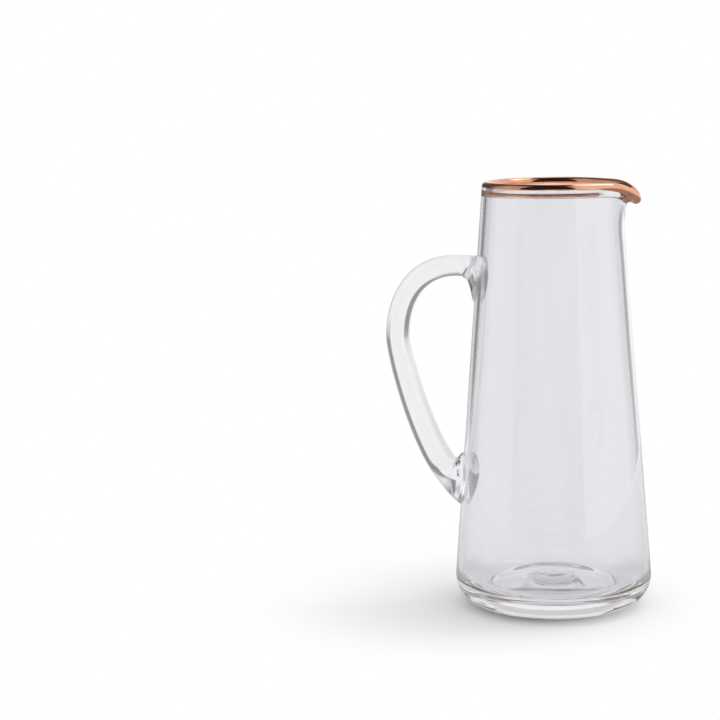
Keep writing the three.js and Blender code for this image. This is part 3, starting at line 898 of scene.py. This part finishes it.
def pale_floor(stage):
    """Matt floor. Away from the jug's shadow the camera sees it as plain white. Glass shows it as mostly
    white and a little darker on either side, and metal shows it as grey."""
    material, wire = new_material("pale_floor")
    camera, mirrored, through = ray_kinds(wire)
    in_metal = mirrored * (1 - through)
    place = wire.node("ShaderNodeTexCoord", output="Object")
    from_axis = wire.node("ShaderNodeVectorMath", {"operation": "SUBTRACT"}, {0: place, 1: (AXIS_X, 0, 0)})
    away = wire.node("ShaderNodeVectorMath", {"operation": "LENGTH"}, {0: from_axis}, "Value")
    toward = wire.node("ShaderNodeVectorMath", {"operation": "DOT_PRODUCT"}, {
        0: from_axis, 1: toward_camera(stage)}, "Value") / away
    from_shade = wire.node("ShaderNodeVectorMath", {"operation": "DISTANCE"}, {
        0: place, 1: turned_about_axis(stage, -stage.shade_left, 0, 0)}, "Value")
    aside = toward.step(*BACK_TO_SIDE)
    under = 1 - away.step(*UNDER_JUG)
    faded = 1 - stage.far_fade * away.step(*FAR_FLOOR)
    beside = (aside + under * (stage.under_side - aside)) * through * faded
    level = in_metal.blend(beside.blend(WHITE, grey(stage.side_level)), grey(stage.metal_floor))
    in_glass = through * (stage.near_white + (1 - stage.near_white) * away.step(*NEAR_JUG))
    plain = camera * from_shade.step(stage.shade_near, stage.shade_far) + in_glass + in_metal
    matt = wire.node("ShaderNodeBsdfDiffuse", None, {"Color": opaque(stage.floor_colour)})
    white = wire.node("ShaderNodeEmission", None, {"Color": level, "Strength": 1.0})
    shader = wire.node("ShaderNodeMixShader", None, {0: plain, 1: matt, 2: white})
    wire.node("ShaderNodeOutputMaterial", None, {"Surface": shader})
    return material


def make_floor(stage):
    """Floor: a disc of rings around the body's axis."""
    radius = stage.floor_radius * np.linspace(0, 1, 25)[1:, None]
    turn = np.linspace(0, TAU, 97)[None, :-1]
    x, y = radius * np.cos(turn), radius * np.sin(turn)
    rows, columns = x.shape
    rings = np.stack([x + AXIS_X, y, 0 * x], axis=-1).reshape(-1, 3)
    points = np.concatenate([rings, [[AXIS_X, 0, 0]]])
    here = np.arange(columns)
    fan = np.stack([np.full(columns, rows * columns), here, (here + 1) % columns], axis=-1)
    quads = grid_quads(rows, columns, False)[:, ::-1]
    mesh = bpy.data.meshes.new("floor")
    mesh.from_pydata(points.tolist(), [], quads.tolist() + fan.tolist())
    mesh.materials.append(pale_floor(stage))
    floor = bpy.data.objects.new("floor", mesh)
    bpy.context.scene.collection.objects.link(floor)


def make_world(stage):
    """Studio: white all round for what the camera, metal and glass see, but unlit where the camera stands,
    with a grey flag on either side that only the glass shows. Matt surfaces get a plain level."""
    world = bpy.data.worlds.new("studio")
    world.use_nodes = True
    world.node_tree.nodes.clear()
    wire = Wire(world.node_tree)
    camera, mirrored, through = ray_kinds(wire)
    direction = wire.node("ShaderNodeTexCoord", output="Generated")

    def part(vector):
        return wire.node(
            "ShaderNodeVectorMath", {"operation": "DOT_PRODUCT"}, {0: direction, 1: vector}, "Value")

    toward = part(toward_camera(stage))
    across = part((math.cos(stage.camera_around), math.sin(stage.camera_around), 0))
    up = part((0, 0, 1))
    bearing = wire.math("ARCTAN2", across, toward)
    unlit, left_flag, right_flag, left_wall = (
        bearing.between(*map(math.radians, degrees)) for degrees in (UNLIT, LEFT_FLAG, RIGHT_FLAG, LEFT_WALL))
    lit = wire.math("MAXIMUM", toward.step(*BACK_WALL), (1 - unlit) * (1 - up.step(*OVERHEAD)))
    to_front = bearing.step(*map(math.radians, LEFT_WALL_FADE))
    walls = left_wall.blend(WHITE, to_front.blend(grey(stage.wall_dark), grey(stage.wall_mid)))
    metal_sees = up.step(*METAL_DOWN).blend(lit.blend(opaque(stage.dark), walls), grey(stage.metal_floor))
    beside = toward.step(*BACK_TO_SIDE) * up.step(*SIDES_DOWN) * stage.horizon_side
    dimmed = (unlit * up.step(*DIM_UP)).blend(WHITE, grey(stage.dim_level))
    roofed = up.step(*ROOF).blend(beside.blend(dimmed, grey(stage.side_level)), grey(stage.roof_level))
    flags = (left_flag + right_flag) * up.between(*FLAGS_UP)
    glass_sees = flags.blend(roofed, grey(stage.flag_level))
    seen = through.blend(mirrored.blend(WHITE, metal_sees), glass_sees)
    shown = wire.node("ShaderNodeBackground", None, {"Color": seen, "Strength": 1.0})
    plain = wire.node("ShaderNodeBackground", None, {"Color": WHITE, "Strength": stage.level})
    shader = wire.node("ShaderNodeMixShader", None, {0: camera + mirrored + through, 1: plain, 2: shown})
    wire.node("ShaderNodeOutputWorld", None, {"Surface": shader})
    bpy.context.scene.world = world


def make_lamp(stage):
    """Soft square lamp above the jug, to its right and behind it."""
    data = bpy.data.lights.new("soft_lamp", "AREA")
    data.shape = "SQUARE"
    data.size = stage.lamp_size
    data.energy = stage.lamp_power
    lamp = bpy.data.objects.new("soft_lamp", data)
    lamp.location = turned_about_axis(stage, stage.lamp_right, stage.lamp_back, stage.lamp_height)
    aim = turned_about_axis(stage, 0, 0, stage.lamp_aim) - lamp.location
    lamp.rotation_mode = "QUATERNION"
    lamp.rotation_quaternion = aim.to_track_quat("-Z", "Y")
    bpy.context.scene.collection.objects.link(lamp)


class PITCHER_OT_stage(bpy.types.Operator):
    """Makes the floor, the soft light and the camera"""

    bl_idname = "pitcher.stage"
    bl_label = "Make stage"

    def execute(self, context):
        stage = context.scene.pitcher_stage
        make_camera(stage)
        make_floor(stage)
        make_world(stage)
        make_lamp(stage)
        context.scene.view_settings.view_transform = "Standard"
        context.scene.cycles.max_bounces = stage.bounces
        context.scene.cycles.transmission_bounces = stage.bounces
        context.scene.cycles.glossy_bounces = stage.bounces
        return {"FINISHED"}


class PITCHER_PT_panel(bpy.types.Panel):
    """Sizes and finishes of the pitcher, and the steps that make it"""

    bl_idname = "PITCHER_PT_panel"
    bl_label = "Glass pitcher"
    bl_space_type = "VIEW_3D"
    bl_region_type = "UI"
    bl_category = "Pitcher"

    def draw(self, context):
        for name, group in PROPERTY_GROUPS.items():
            box = self.layout.box()
            for field in group.__annotations__:
                box.prop(getattr(context.scene, name), field)
        for operator in OPERATORS:
            self.layout.operator(operator.bl_idname)


OPERATORS = (PITCHER_OT_body, PITCHER_OT_handle, PITCHER_OT_band, PITCHER_OT_stage)
CLASSES = (*PROPERTY_GROUPS.values(), *OPERATORS, PITCHER_PT_panel)


def register():
    for cls in CLASSES:
        bpy.utils.register_class(cls)
    for name, group in PROPERTY_GROUPS.items():
        setattr(bpy.types.Scene, name, bpy.props.PointerProperty(type=group))


def unregister():
    for name in PROPERTY_GROUPS:
        delattr(bpy.types.Scene, name)
    for cls in reversed(CLASSES):
        bpy.utils.unregister_class(cls)


def main():
    register()
    bpy.ops.pitcher.body()
    bpy.ops.pitcher.handle()
    bpy.ops.pitcher.band()
    bpy.ops.pitcher.stage()


if __name__ == "__main__":
    main()
